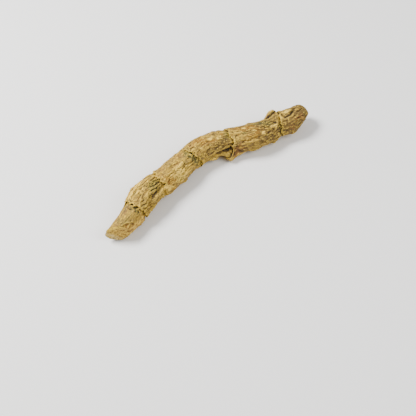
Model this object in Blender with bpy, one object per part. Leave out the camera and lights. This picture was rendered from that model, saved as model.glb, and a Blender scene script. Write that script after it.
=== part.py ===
"""A dried calamus root: one cut length of ringed rhizome, lying on its side.

The root is one closed skin. It is swept along a bent centre line, ring by ring, and every place on it is
given by two numbers: how far along the centre line it lies, in millimetres, and the angle around it, in
degrees, with 0 at the top and 90 on the near side (-Y). Bark segments overlap at jagged hems, so each hem is
a step in the skin.
"""
import math
from collections import namedtuple

import bmesh
import bpy
from mathutils import Vector, noise

NODE = "calamus_root"
MM = 0.001

# The centre line from the knife cut to the tip: along the root, across it, and its height over the ground.
CENTRE_LINE = (
    (1.7, -3.5, 6.9), (13.8, 0.4, 6.6), (26.5, 5.4, 7.4), (38.8, 9.6, 8.6), (53.3, 11.6, 8.1),
    (69.0, 14.9, 7.4), (79.6, 16.2, 7.8), (89.5, 14.4, 8.0), (98.2, 11.3, 7.9), (105.0, 7.1, 8.1),
    (112.6, 4.0, 7.7), (121.1, 2.6, 7.1), (128.1, 1.3, 7.6), (136.8, 0.4, 7.8), (151.6, 0.2, 7.9),
)
STEPS_PER_SPAN = 24
# The part's origin, on the ground under the middle of the root's box.
ORIGIN = (74.67, 8.44, 0.0)

# A bark segment starts at its hem. The hem lies at `start`, is pushed along by `sway` on the near side and by
# `nod` on the top, and is torn by up to `jag`. `lip` is how far the hem flares out over the bark before it,
# and `groove` how deep that bark sinks there. `girth` is the radius at the segment's start, middle and end,
# and `furrow` the height of its lengthwise wrinkles.
Segment = namedtuple("Segment", "start sway nod jag lip groove girth furrow")
SEGMENTS = (
    Segment(start=7.2, sway=0.0, nod=0.0, jag=0.0, lip=0.0, groove=0.0, girth=(6.0, 6.3, 6.6), furrow=0.12),
    Segment(start=25.7, sway=0.2, nod=-1.7, jag=1.1, lip=0.9, groove=0.5, girth=(6.9, 8.0, 6.9), furrow=0.4),
    Segment(start=47.0, sway=-1.2, nod=-1.0, jag=1.6, lip=0.9, groove=0.6, girth=(6.8, 7.4, 7.0), furrow=0.2),
    Segment(start=73.2, sway=2.0, nod=-1.2, jag=1.3, lip=0.6, groove=0.6, girth=(6.9, 7.5, 6.6), furrow=0.22),
    Segment(start=99.7, sway=1.1, nod=-0.2, jag=1.0, lip=1.0, groove=0.8, girth=(6.7, 7.5, 5.6), furrow=0.22),
    Segment(start=131.9, sway=-1.9, nod=-0.5, jag=0.7, lip=1.1, groove=1.1, girth=(5.9, 6.8, 5.3), furrow=0.2),
)
TIP = 151.0
ROWS = (11, 14, 16, 16, 19, 14)
ROW_CROWDING = 0.1
COLUMNS = 60
LIP_FADE = 3.0
LIP_LEAN = 0.25
# How much of its lip a hem keeps underneath, where it is worn.
UNDERSIDE_LIP = 0.3
GROOVE_FADE = 1.5
# The tears in a hem: about how many there are around the root, and their share of the segment's jag.
HEM_TEARS = ((2.2, 1.2), (5.0, 1.0))
HEM_LAYER = 7.3

# Where a hem runs back in a tongue over the bark before it, or forward round the bud.
Tongue = namedtuple("Tongue", "hem angle spread length")
TONGUES = (
    Tongue(hem=4, angle=118.0, spread=16.0, length=7.0),
    Tongue(hem=5, angle=-54.0, spread=24.0, length=-1.6),
)

# The knife cut at the near end is a plane that slants along the root towards the near side and the top. The
# bark next to it is pared flat on the near side, to a depth that runs out along the root.
CUT_SIDE_SLANT = 0.73
CUT_TOP_SLANT = 0.15
CUT_DISH = ((0.93, 0.0), (0.8, 0.35), (0.45, 0.5))
PARED_ANGLE = 78.0
PARED_REACH = 5.3
PARED_RISE = 0.13

# The far end is rounded, the blunter the higher its power, and a slanted cut trims its lower near side.
DOME_START = 147.4
DOME_POWER = 2.8
FAR_CUT_AXIS_CROSSING = 153.6
FAR_CUT_SLANT = 2.0
FAR_CUT_ANGLE = 119.0
# How sharply the plane of a cut meets the rounded skin.
TRIM_SHARPNESS = 10.0

# How much the side that dried against the ground is flattened.
UNDERSIDE_FLATTENING = 0.6

# Noise over the bark: the size of its cells along the root and around it, and its layer of the noise.
Grain = namedtuple("Grain", "length width layer")
LUMPS = Grain(length=13.0, width=6.0, layer=9.0)
WANDER = Grain(length=7.0, width=5.0, layer=40.0)
COARSE_FURROWS = Grain(length=9.0, width=2.4, layer=0.0)
FINE_FURROWS = Grain(length=5.0, width=1.5, layer=20.0)
LUMP_HEIGHT = 0.7
FURROW_WANDER = 0.9
COARSE_FURROW_SHARE = 2.8
FINE_FURROW_SHARE = 0.8

# Mounds and dents: place along, angle, reach along, reach around, and height in millimetres.
Mound = namedtuple("Mound", "at angle along around height")
PITS = (
    Mound(at=20.7, angle=-7, along=1.1, around=1.1, height=-0.9),
    Mound(at=22.9, angle=10, along=1.1, around=1.1, height=-0.8),
    Mound(at=23.2, angle=33, along=1.0, around=1.3, height=-1.0),
    Mound(at=42.0, angle=18, along=4.0, around=2.2, height=-0.9),
    Mound(at=45.1, angle=86, along=1.6, around=1.6, height=-1.3),
    Mound(at=127.5, angle=-2, along=1.2, around=1.1, height=-0.9),
    Mound(at=126.6, angle=-44, along=1.3, around=1.3, height=-1.6),
)
BULGES = (
    Mound(at=20.0, angle=104, along=4.0, around=3.0, height=0.9),
    Mound(at=31.0, angle=-66, along=6.0, around=4.0, height=0.8),
    Mound(at=27.0, angle=104, along=2.5, around=4.0, height=-0.7),
    Mound(at=31.0, angle=200, along=6.0, around=4.5, height=-1.1),
    Mound(at=35.0, angle=112, along=7.0, around=4.0, height=-0.6),
    Mound(at=50.5, angle=112, along=4.0, around=3.0, height=0.5),
    Mound(at=61.1, angle=24, along=3.0, around=1.4, height=0.5),
    Mound(at=87.5, angle=122, along=7.0, around=2.2, height=1.0),
    Mound(at=95.0, angle=-52, along=8.0, around=5.0, height=-0.9),
    Mound(at=113.6, angle=-50, along=3.5, around=1.3, height=0.7),
    Mound(at=119.5, angle=-42, along=3.0, around=1.2, height=0.7),
    Mound(at=121.0, angle=-58, along=3.0, around=2.0, height=0.5),
    Mound(at=137.5, angle=-40, along=4.0, around=3.0, height=0.7),
    Mound(at=138.0, angle=104, along=5.0, around=4.0, height=1.0),
    Mound(at=148.5, angle=-52, along=3.5, around=4.0, height=1.2),
)
# The stub of a side shoot under the fourth ring.
STUB = (
    Mound(at=96.4, angle=121, along=3.8, around=2.9, height=5.2),
    Mound(at=103.0, angle=121, along=4.5, around=2.9, height=3.3),
)
# A bud on the far side, by the last ring.
BUD = (
    Mound(at=128.0, angle=-54, along=3.2, around=3.2, height=4.2),
    Mound(at=131.7, angle=-54, along=2.4, around=3.0, height=3.6),
)
# The skin's lowest places, one near each end and one on the outside of the bend.
RESTS = (
    Mound(at=17.0, angle=180, along=4.5, around=3.6, height=1.95),
    Mound(at=76.5, angle=180, along=3.5, around=3.4, height=1.4),
    Mound(at=120.0, angle=182, along=4.5, around=3.6, height=1.5),
)
MOUNDS = PITS + BULGES + STUB + BUD + RESTS

# Creases: the places they run through, as pairs of place and angle, then their depth and half width.
Crease = namedtuple("Crease", "course depth width")
CREASES = (
    Crease(course=((15.0, 50), (18.9, 64), (24.5, 69)), depth=0.7, width=0.8),
    Crease(course=((34.0, -20), (40.0, -10), (45.0, -18)), depth=1.1, width=0.9),
    Crease(course=((33.0, 38), (39.5, 50), (45.5, 46)), depth=1.1, width=0.9),
    Crease(course=((84.5, 100), (91.0, 91), (98.5, 84)), depth=1.5, width=0.9),
    Crease(course=((133.8, -50), (133.2, -21), (134.2, 4), (137.7, 4), (140.5, -8), (143.5, -24)),
           depth=0.9, width=0.8),
)

# Scars of the small roots stand in a zigzag along the underside, each a low round rim with a dimple in it.
SCARS_FROM = 23.0
SCARS_TO = 144.0
SCAR_STEP = 6.4
SCAR_SWING = 44.0
SCAR_STRAY = 16.0
SCAR_REACH = 2.1
SCAR_HEIGHT = 2.2
SCAR_DIMPLE = 2.4
SCAR_DIMPLE_SHARPNESS = 3.5
SCAR_LAYER = 1.7


def clear_scene():
    for thing in list(bpy.data.objects):
        bpy.data.objects.remove(thing, do_unlink=True)


def curve_through(before, start, end, after, share):
    """A place between start and end on the smooth curve through four points."""
    return 0.5 * (
        2 * start
        + (end - before) * share
        + (2 * before - 5 * start + 4 * end - after) * share ** 2
        + (3 * start - before - 3 * end + after) * share ** 3
    )


def trace_centre_line():
    """Points along the centre line, each with its distance from the start as seen from above."""
    knots = [Vector(knot) for knot in CENTRE_LINE]
    knots = [2 * knots[0] - knots[1]] + knots + [2 * knots[-1] - knots[-2]]
    points = [
        curve_through(*knots[span:span + 4], step / STEPS_PER_SPAN)
        for span in range(len(knots) - 3)
        for step in range(STEPS_PER_SPAN)
    ] + [knots[-2]]
    distances = [0.0]
    for last, point in zip(points, points[1:]):
        distances.append(distances[-1] + (point - last).xy.length)
    return points, distances


LINE_POINTS, LINE_DISTANCES = trace_centre_line()


def centre(at):
    """The centre line's point at a distance along it."""
    low, high = 0, len(LINE_DISTANCES) - 1
    while high - low > 1:
        middle = (low + high) // 2
        low, high = (middle, high) if LINE_DISTANCES[middle] <= at else (low, middle)
    share = (at - LINE_DISTANCES[low]) / (LINE_DISTANCES[high] - LINE_DISTANCES[low])
    return LINE_POINTS[low].lerp(LINE_POINTS[high], share)


def directions(at):
    """The level directions along the root and out to its near side."""
    ahead = centre(at + 0.5) - centre(at - 0.5)
    ahead.z = 0.0
    ahead.normalize()
    return ahead, ahead.cross(Vector((0, 0, 1)))


def turn_between(angle, other):
    """The signed turn from one angle to another, both in degrees, in radians."""
    return math.radians((angle - other + 180.0) % 360.0 - 180.0)


def hem(index, angle):
    """How far along the root a segment starts, at an angle around it."""
    if index == 0:
        return cut_edge(angle)
    if index == len(SEGMENTS):
        return TIP
    segment = SEGMENTS[index]
    turn = math.radians(angle)
    circle = Vector((math.cos(turn), math.sin(turn), 0.0))
    layer = Vector((0.0, 0.0, HEM_LAYER * index))
    place = segment.start + segment.sway * math.sin(turn) + segment.nod * math.cos(turn)
    for count, share in HEM_TEARS:
        place += segment.jag * share * noise.noise(circle * count + layer)
    for tongue in TONGUES:
        if tongue.hem == index:
            aside = turn_between(angle, tongue.angle) / math.radians(tongue.spread)
            place -= tongue.length * math.exp(-aside ** 2)
    return place


def cut_edge(angle):
    """Where the knife cut's plane meets the bark, found by closing in on it."""
    turn = math.radians(angle)
    slant = CUT_SIDE_SLANT * math.sin(turn) + CUT_TOP_SLANT * math.cos(turn)
    at = SEGMENTS[0].start
    for _ in range(8):
        at = SEGMENTS[0].start + slant * radius(0, at, angle)
    return at


def plain_girth(index, at):
    """The segment's radius without its relief, through its values at start, middle and end."""
    start = SEGMENTS[index].start
    end = SEGMENTS[index + 1].start if index + 1 < len(SEGMENTS) else DOME_START
    share = (at - start) / (end - start)
    first, middle, last = SEGMENTS[index].girth
    return (
        first * (1 - share) * (1 - 2 * share)
        + 4 * middle * share * (1 - share)
        + last * share * (2 * share - 1)
    )


def grain_noise(grain, at, angle, girth, shift=0.0):
    """Smooth noise over the bark that meets itself after a full turn, between -1 and 1."""
    turn = math.radians(angle)
    across = girth * math.sin(turn) / grain.width
    up = girth * math.cos(turn) / grain.width
    return noise.noise(Vector((at / grain.length, across + grain.layer + shift, up)))


def furrows(at, angle, girth):
    """Lengthwise wrinkles: rounded ridges between narrow valleys, from -1 to about 1."""
    wander = FURROW_WANDER * grain_noise(WANDER, at, angle, girth)
    coarse = abs(grain_noise(COARSE_FURROWS, at, angle, girth, wander))
    fine = abs(grain_noise(FINE_FURROWS, at, angle, girth, wander))
    return COARSE_FURROW_SHARE * coarse + FINE_FURROW_SHARE * fine - 1.0


def mounds(at, angle, girth):
    total = 0.0
    for mound in MOUNDS:
        along = (at - mound.at) / mound.along
        across = girth * turn_between(angle, mound.angle) / mound.around
        if abs(along) < 3 and abs(across) < 3:
            total += mound.height * math.exp(-along ** 2 - across ** 2)
    return total


def distance_to_course(at, angle, girth, course):
    """The distance over the bark from a place to a crease, in millimetres."""
    nearest = math.inf
    for (at_a, angle_a), (at_b, angle_b) in zip(course, course[1:]):
        here = Vector((at - at_a, girth * turn_between(angle, angle_a)))
        run = Vector((at_b - at_a, girth * turn_between(angle_b, angle_a)))
        share = min(max(here.dot(run) / run.length_squared, 0.0), 1.0)
        nearest = min(nearest, (here - run * share).length)
    return nearest


def creases(at, angle, girth):
    total = 0.0
    for crease in CREASES:
        if crease.course[0][0] - 3 < at < crease.course[-1][0] + 3:
            reach = distance_to_course(at, angle, girth, crease.course) / crease.width
            total -= crease.depth * math.exp(-reach ** 2)
    return total


def root_scars(at, angle, girth):
    """Raised round scars, each with a dimple, in a zigzag along the underside."""
    if not SCARS_FROM - SCAR_STEP < at < SCARS_TO:
        return 0.0
    total = 0.0
    nearest = round((at - SCARS_FROM) / SCAR_STEP)
    for number in (nearest - 1, nearest, nearest + 1):
        stray = SCAR_STRAY * noise.noise(Vector((number * SCAR_LAYER, 0.0, 0.0)))
        swing = (SCAR_SWING if number % 2 else -SCAR_SWING) + stray
        along = (at - SCARS_FROM - SCAR_STEP * number) / SCAR_REACH
        across = girth * turn_between(angle, 180.0 + swing) / SCAR_REACH
        spread = along ** 2 + across ** 2
        total += SCAR_HEIGHT * math.exp(-spread) - SCAR_DIMPLE * math.exp(-SCAR_DIMPLE_SHARPNESS * spread)
    return total


def far_end(at, angle, distance):
    """The skin near the tip: drawn in to a rounded end, and trimmed by the slanted cut."""
    if at > DOME_START:
        share = min((at - DOME_START) / (TIP - DOME_START), 1.0)
        distance *= (1.0 - share ** DOME_POWER) ** (1.0 / DOME_POWER)
    return trim(distance, angle, (FAR_CUT_AXIS_CROSSING - at) / FAR_CUT_SLANT, FAR_CUT_ANGLE)


def trim(distance, angle, reach, plane_angle):
    """The skin's distance, trimmed by a plane that faces plane_angle, `reach` away from the centre line."""
    facing = math.cos(turn_between(angle, plane_angle))
    if facing <= 0.0:
        return distance
    limit = reach / facing
    return (distance ** -TRIM_SHARPNESS + limit ** -TRIM_SHARPNESS) ** (-1.0 / TRIM_SHARPNESS)


def radius(index, at, angle):
    """The distance from the centre line out to the bark of a segment."""
    segment = SEGMENTS[index]
    girth = plain_girth(index, at)
    facing_down = max(-math.cos(math.radians(angle)), 0.0)
    distance = girth + LUMP_HEIGHT * grain_noise(LUMPS, at, angle, girth)
    distance += segment.furrow * furrows(at, angle, girth)
    distance += mounds(at, angle, girth) + creases(at, angle, girth) + root_scars(at, angle, girth)
    distance -= UNDERSIDE_FLATTENING * facing_down ** 2
    if index == 0:
        distance = trim(distance, angle, PARED_REACH + PARED_RISE * (at - segment.start), PARED_ANGLE)
    else:
        past_hem = max(at - hem(index, angle), 0.0)
        worn = 1.0 - (1.0 - UNDERSIDE_LIP) * facing_down
        distance += segment.lip * worn * math.exp(-past_hem / LIP_FADE)
    if index + 1 < len(SEGMENTS):
        to_hem = max(hem(index + 1, angle) - at, 0.0)
        distance -= SEGMENTS[index + 1].groove * math.exp(-to_hem / GROOVE_FADE)
    return far_end(at, angle, distance)


def skin_point(at, angle, distance):
    """The place in space of a point of the skin, pressed flat where it would pass the ground."""
    side = directions(at)[1]
    turn = math.radians(angle)
    point = centre(at) + side * distance * math.sin(turn)
    point.z = max(point.z + distance * math.cos(turn), 0.0)
    return point


def place_along(index, share, angle):
    """The place a share of the way from one hem to the next. A hem leans out over the bark before it."""
    start = hem(index, angle) + (LIP_LEAN if index else 0.0)
    return start + share * (hem(index + 1, angle) - start)


def shares(index):
    """The rows of a segment, as shares of its length, closer at its hems and over the tip."""
    count = ROWS[index]
    even = [row / (count - 1) for row in range(count)]
    if index + 1 < len(SEGMENTS):
        return [share - ROW_CROWDING * math.sin(2 * math.pi * share) for share in even]
    return [math.sin(0.5 * math.pi * share) for share in even[:-1]]


def add_bark(skin):
    """The rows of the bark, from the knife cut to the last row before the tip."""
    rows = []
    for index in range(len(SEGMENTS)):
        for share in shares(index):
            row = []
            for column in range(COLUMNS):
                angle = 360.0 * column / COLUMNS
                at = place_along(index, share, angle)
                row.append(skin.verts.new(skin_point(at, angle, radius(index, at, angle))))
            rows.append(row)
    for row, after in zip(rows, rows[1:]):
        bridge(skin, row, after)
    return rows


def bridge(skin, row, after):
    for column in range(COLUMNS):
        following = (column + 1) % COLUMNS
        skin.faces.new((row[column], row[following], after[following], after[column]))


def close_row(skin, row, hub):
    """A fan from an open row to its hub, facing along the root."""
    for column in range(COLUMNS):
        skin.faces.new((hub, row[column], row[(column + 1) % COLUMNS]))


def add_cut_face(skin, rim):
    """The knife cut's face: rings that sink a little towards the middle, where the root has shrunk."""
    ahead, side = directions(SEGMENTS[0].start)
    inward = (ahead - CUT_SIDE_SLANT * side - CUT_TOP_SLANT * Vector((0, 0, 1))).normalized()
    middle = sum((vertex.co for vertex in rim), Vector()) / len(rim)
    outer = rim
    for share, sink in CUT_DISH:
        ring = []
        for vertex in rim:
            point = middle.lerp(vertex.co, share) + inward * sink
            ring.append(skin.verts.new((point.x, point.y, max(point.z, 0.0))))
        bridge(skin, ring, outer)
        outer = ring
    hub = skin.verts.new(middle + inward * CUT_DISH[-1][1])
    close_row(skin, outer[::-1], hub)


def build_root():
    skin = bmesh.new()
    rows = add_bark(skin)
    add_cut_face(skin, rows[0])
    close_row(skin, rows[-1], skin.verts.new(skin_point(TIP, 0.0, 0.0)))
    bmesh.ops.translate(skin, vec=-Vector(ORIGIN), verts=skin.verts)
    bmesh.ops.scale(skin, vec=(MM, MM, MM), verts=skin.verts)
    mesh = bpy.data.meshes.new(NODE)
    skin.to_mesh(mesh)
    skin.free()
    mesh.shade_smooth()
    root = bpy.data.objects.new(NODE, mesh)
    bpy.context.scene.collection.objects.link(root)
    return root


def bark_material():
    material = bpy.data.materials.new("dried_bark")
    material.use_nodes = True
    shader = material.node_tree.nodes["Principled BSDF"]
    shader.inputs["Base Color"].default_value = (0.42, 0.28, 0.12, 1.0)
    shader.inputs["Roughness"].default_value = 0.85
    shader.inputs["Metallic"].default_value = 0.0
    return material


def main():
    clear_scene()
    root = build_root()
    root.data.materials.append(bark_material())


main()
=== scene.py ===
"""The look of a dried calamus root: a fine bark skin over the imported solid, with torn hems and splinters.

Every place on the root is given as in the solid: how far along the centre line it lies, in millimetres,
and the angle around it, in degrees, with 0 at the top and 90 on the near side (-Y).
"""
import random
from collections import defaultdict, namedtuple
from functools import lru_cache
from math import atan2, cos, degrees, exp, hypot, inf, pi, radians, sin

import bpy
import numpy as np
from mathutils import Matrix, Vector, noise


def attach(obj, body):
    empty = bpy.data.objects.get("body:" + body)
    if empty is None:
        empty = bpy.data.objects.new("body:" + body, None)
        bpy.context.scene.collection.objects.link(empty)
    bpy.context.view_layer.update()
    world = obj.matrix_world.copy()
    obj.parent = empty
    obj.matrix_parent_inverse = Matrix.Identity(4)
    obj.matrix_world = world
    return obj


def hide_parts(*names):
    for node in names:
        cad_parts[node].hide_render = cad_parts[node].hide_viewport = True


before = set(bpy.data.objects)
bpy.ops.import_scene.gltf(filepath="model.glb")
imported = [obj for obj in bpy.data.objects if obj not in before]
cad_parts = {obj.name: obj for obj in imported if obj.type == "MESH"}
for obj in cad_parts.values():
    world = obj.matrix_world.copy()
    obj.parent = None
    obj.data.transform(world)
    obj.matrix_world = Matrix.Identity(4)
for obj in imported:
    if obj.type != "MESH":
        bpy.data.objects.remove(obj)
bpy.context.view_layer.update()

NODE = "calamus_root"
BODY = "root"
MM = 0.001

# The shape of the solid, in millimetres. These values are the solid's own.
CENTRE_LINE = (
    (1.7, -3.5, 6.9), (13.8, 0.4, 6.6), (26.5, 5.4, 7.4), (38.8, 9.6, 8.6), (53.3, 11.6, 8.1),
    (69.0, 14.9, 7.4), (79.6, 16.2, 7.8), (89.5, 14.4, 8.0), (98.2, 11.3, 7.9), (105.0, 7.1, 8.1),
    (112.6, 4.0, 7.7), (121.1, 2.6, 7.1), (128.1, 1.3, 7.6), (136.8, 0.4, 7.8), (151.6, 0.2, 7.9),
)
STEPS_PER_SPAN = 24
ORIGIN = (74.67, 8.44, 0.0)

# A segment starts with a hem. Sway and nod shift the hem at the near side and at the top, jag tears it, lip
# is its height, and groove the depth before it. Girth is the radius at the start, middle and end.
Segment = namedtuple("Segment", "start sway nod jag lip groove girth furrow")
SEGMENTS = (
    Segment(start=7.2, sway=0, nod=0, jag=0, lip=0, groove=0, girth=(6, 6.3, 6.6), furrow=0.12),
    Segment(start=25.7, sway=0.2, nod=-1.7, jag=1.1, lip=0.9, groove=0.5, girth=(6.9, 8, 6.9), furrow=0.4),
    Segment(start=47, sway=-1.2, nod=-1, jag=1.6, lip=0.9, groove=0.6, girth=(6.8, 7.4, 7), furrow=0.2),
    Segment(start=73.2, sway=2, nod=-1.2, jag=1.3, lip=0.6, groove=0.6, girth=(6.9, 7.5, 6.6), furrow=0.22),
    Segment(start=99.7, sway=1.1, nod=-0.2, jag=1, lip=1, groove=0.8, girth=(6.7, 7.5, 5.6), furrow=0.22),
    Segment(start=131.9, sway=-1.9, nod=-0.5, jag=0.7, lip=1.1, groove=1.1, girth=(5.9, 6.8, 5.3),
            furrow=0.2),
)
LAST = len(SEGMENTS) - 1
TIP = 151.0
LIP_FADE = 3.0
UNDERSIDE_LIP = 0.3
GROOVE_FADE = 1.5
HEM_TEARS = ((2.2, 1.2), (5.0, 1.0))
HEM_LAYER = 7.3
Tongue = namedtuple("Tongue", "hem angle spread length")
TONGUES = (
    Tongue(hem=4, angle=118.0, spread=16.0, length=7.0),
    Tongue(hem=5, angle=-54.0, spread=24.0, length=-1.6),
)
CUT_SIDE_SLANT = 0.73
CUT_TOP_SLANT = 0.15
CUT_EDGE_STEPS = 8
PARED_ANGLE = 78.0
PARED_REACH = 5.3
PARED_RISE = 0.13
DOME_START = 147.4
DOME_POWER = 2.8
FAR_CUT_AXIS_CROSSING = 153.6
FAR_CUT_SLANT = 2.0
FAR_CUT_ANGLE = 119.0
TRIM_SHARPNESS = 10.0
UNDERSIDE_FLATTENING = 0.6

# A grain: the length and width of one cell of noise, and where in the noise it is taken.
Grain = namedtuple("Grain", "length width layer")
LUMPS = Grain(13.0, 6.0, 9.0)
WANDER = Grain(7.0, 5.0, 40.0)
COARSE_FURROWS = Grain(9.0, 2.4, 0.0)
FINE_FURROWS = Grain(5.0, 1.5, 20.0)
LUMP_HEIGHT = 0.7
FURROW_WANDER = 0.9
COARSE_FURROW_SHARE = 2.8
FINE_FURROW_SHARE = 0.8

# A spot on the bark: its place along, its angle, its reach along and around, and its height, or strength
# if it is a stain. Further off than SPOT_LIMIT times its reach along, it doesn't count.
Spot = namedtuple("Spot", "at angle along around height")
SPOT_LIMIT = 3.0


def spots(*rows):
    """The spots with these rows of values."""
    return [Spot(*row) for row in rows]


PITS = spots(
    (20.7, -7, 1.1, 1.1, -0.9), (22.9, 10, 1.1, 1.1, -0.8), (23.2, 33, 1, 1.3, -1),
    (42, 18, 4, 2.2, -0.9), (45.1, 86, 1.6, 1.6, -1.3), (127.5, -2, 1.2, 1.1, -0.9),
    (126.6, -44, 1.3, 1.3, -1.6),
)
BULGES = spots(
    (20, 104, 4, 3, 0.9), (31, -66, 6, 4, 0.8), (27, 104, 2.5, 4, -0.7), (31, 200, 6, 4.5, -1.1),
    (35, 112, 7, 4, -0.6), (50.5, 112, 4, 3, 0.5), (61.1, 24, 3, 1.4, 0.5), (87.5, 122, 7, 2.2, 1),
    (95, -52, 8, 5, -0.9), (113.6, -50, 3.5, 1.3, 0.7), (119.5, -42, 3, 1.2, 0.7),
    (121, -58, 3, 2, 0.5), (137.5, -40, 4, 3, 0.7), (138, 104, 5, 4, 1), (148.5, -52, 3.5, 4, 1.2),
)
STUB = spots((96.4, 121, 3.8, 2.9, 5.2), (103, 121, 4.5, 2.9, 3.3))
BUD = spots((128, -54, 3.2, 3.2, 4.2), (131.7, -54, 2.4, 3, 3.6))
RESTS = spots((17, 180, 4.5, 3.6, 1.95), (76.5, 180, 3.5, 3.4, 1.4), (120, 182, 4.5, 3.6, 1.5))
MOUNDS = PITS + BULGES + STUB + BUD + RESTS

# A crease: its course, as pairs of place along and angle, its depth and its width. Further past its ends
# than CREASE_LIMIT, it doesn't count.
Crease = namedtuple("Crease", "course depth width")
CREASE_LIMIT = 3.0
CREASES = (
    Crease(((15, 50), (18.9, 64), (24.5, 69)), 0.7, 0.8),
    Crease(((34, -20), (40, -10), (45, -18)), 1.1, 0.9),
    Crease(((33, 38), (39.5, 50), (45.5, 46)), 1.1, 0.9),
    Crease(((84.5, 100), (91, 91), (98.5, 84)), 1.5, 0.9),
    Crease(((133.8, -50), (133.2, -21), (134.2, 4), (137.7, 4), (140.5, -8), (143.5, -24)), 0.9, 0.8),
)

# The scars of small roots, in a zigzag along the underside.
SCARS_FROM = 23.0
SCARS_TO = 144.0
SCAR_STEP = 6.4
SCAR_SWING = 44.0
SCAR_STRAY = 16.0
SCAR_REACH = 2.1
SCAR_HEIGHT = 2.2
SCAR_DIMPLE = 2.4
SCAR_DIMPLE_SHARPNESS = 3.5
SCAR_LAYER = 1.7

# The fine skin: its rows in each segment and its columns, and how a hem hangs over the bark before it.
FINE_ROWS = (76, 84, 104, 104, 124, 92)
FINE_COLUMNS = 156
OVERHANG = 0.5
TUCK = 0.5
TEAR_FADE = 1.8
FINE_TEARS = ((11.0, 0.7), (24.0, 0.4))
LIP_THICKNESS = 0.4
LIP_RAGGEDNESS = 0.7
LIP_WAVES = 5.0
LIP_LAYER = 2.0
LIP_EDGE_STEP = 0.12

# What a vertex tells its material: how far it stands out, which paints a highlight on ridges and shade in
# valleys, the painted shade in the gap before a hem (up to 1) or its pale rim (down to -1), cut tissue, the
# cut's face, and roughness. Stains are laid on a root of mean girth.
PLAIN_VALUES = {"relief": 0.0, "hem": 0.0, "cut": 0.0, "face": 0.0, "rough": 0.5}
# The vertices under a hem's lip carry painted shade: a low relief and a dark hem value.
LIP_EDGE_SHADE_VALUES = {"relief": -0.8, "hem": 0.6}
MEAN_GIRTH = 7.0
HEM_SHADOW_REACH = 0.5
HEM_RIM_REACH = 0.5
CUT_EDGE_SHADE = 0.8
CUT_EDGE_REACH = 0.5

# How strongly the height over the nearby bark counts, and the cells that nearby means, wide and narrow.
# The material paints a highlight where the bark stands out and shade where it lies low.
RELIEF_SCALE = 0.38
RELIEF_REACHES = (5, 2)

# The fine bark: how rough each segment is, its peeled strips and small shreds, cracks, fibres and grit.
ROUGHNESS = (0.5, 1.0, 0.55, 0.6, 0.6, 0.5)
STRIPS = Grain(4.0, 1.6, 73.0)
SHREDS = Grain(1.9, 0.9, 61.0)
CRACKS = Grain(5.0, 1.5, 87.0)
CRACK_PATCHES = Grain(8.0, 4.0, 91.0)
FIBRES = Grain(5.0, 0.5, 67.0)
GRIT = Grain(0.8, 0.6, 95.0)
STRIP_HEIGHT = 0.3
SHRED_HEIGHT = 0.24
STRIP_EDGE = 0.04
CRACK_DEPTH = 0.8
CRACK_WIDTH = 0.05
CRACK_PATCH_EDGE = (0.0, 0.25)
FIBRE_HEIGHT = 0.14
GRIT_HEIGHT = 0.1

# Before a hem the bark is packed into small round beads, some in each segment, and the hem stands clear.
BEADING = (0.6, 0.5, 1.0, 0.3, 0.2)
BEAD_SIZE = 1.7
BEAD_GAP = 0.35
BEAD_HEIGHT = 0.9
BEAD_SINK = 0.7
BEAD_REACH = 2.6
BEAD_LIMIT = 3.0
BEAD_PATCHES = Grain(4.0, 3.0, 53.0)
BEAD_PATCH_EDGE = (-0.35, 0.15)
UNDERCUT = 0.4
UNDERCUT_REACH = 0.6

# Narrow creases: beside the oval scar, in the fissured bark, round the bud, and over the tip.
FINE_CREASES = (
    Crease(((58, 27), (61, 33), (64, 30)), 0.6, 0.45),
    Crease(((60.5, 41), (63.5, 38), (66, 41)), 0.5, 0.35),
    Crease(((63, 49), (66.4, 46), (69.5, 47)), 0.5, 0.35),
    Crease(((61.5, 57), (65.5, 55), (68, 57)), 0.4, 0.35),
    Crease(((35, -32), (38.5, -27), (42, -28)), 0.6, 0.4),
    Crease(((36.5, -4), (40.5, 1), (45, 4)), 0.9, 0.45),
    Crease(((37.5, 12), (41, 18), (44.5, 18)), 0.9, 0.45),
    Crease(((36, 26), (40, 33), (44, 33)), 0.8, 0.4),
    Crease(((119.5, 4), (121.5, 10), (123.5, 20), (125.2, 36)), 0.8, 0.45),
    Crease(((122.5, -50), (125, -43), (127.8, -37), (130.4, -37), (132, -46)), 1.0, 0.5),
    Crease(((133.8, -56), (137.8, -43), (143, -52)), 0.7, 0.5),
    Crease(((124.5, -68), (127.5, -74), (130.5, -72)), 0.4, 0.4),
    Crease(((125.5, -84), (128.5, -88), (131, -84)), 0.4, 0.4),
    Crease(((136.5, 20), (138.5, 24), (140, 22)), 0.35, 0.4),
    Crease(((140.5, 36), (142.5, 41), (144.5, 40)), 0.4, 0.4),
    Crease(((143, 8), (145, 3), (147, -4)), 0.4, 0.4),
)

# The knife's pared strip is lower and smoother than the bark. It ends at an edge, given as pairs of angle
# and place along, where the bark curls up.
PARED_EDGE = ((-90, 1.5), (-45, 3.6), (0, 7), (25, 12.6), (45, 15), (56, 16.7), (64, 19.2), (70, 23.8),
              (75, 28), (122, 28), (140, 17), (160, 7), (180, 5.5), (225, 2.4), (270, 1.5))
PARED_GIRTH = 6.3
PARED_DEPTH = 0.4
PARED_BLEND = 0.25
PARED_WOBBLE = 0.5
PARED_SMOOTHING = 0.4
CURL_HEIGHT = 0.5
CURL_REACH = 0.9

# The cut face: its rings, as shares of its rim, how far it sinks in its middle, and its rough patches, each
# with the size of its cells and its height.
CUT_RINGS = (0.985, 0.965, 0.93, 0.88, 0.82, 0.75, 0.67, 0.58, 0.49, 0.4, 0.31, 0.22, 0.13)
CUT_SINK = 0.5
CUT_SINK_POWER = 3
CUT_PATCHES = ((2.4, 0.2), (0.9, 0.14), (0.45, 0.08))
CUT_PATCH_POWER = 8
# How strongly the cut's rough height counts as relief, which paints highlight and shade on it.
CUT_RELIEF_SCALE = 3.0
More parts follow.
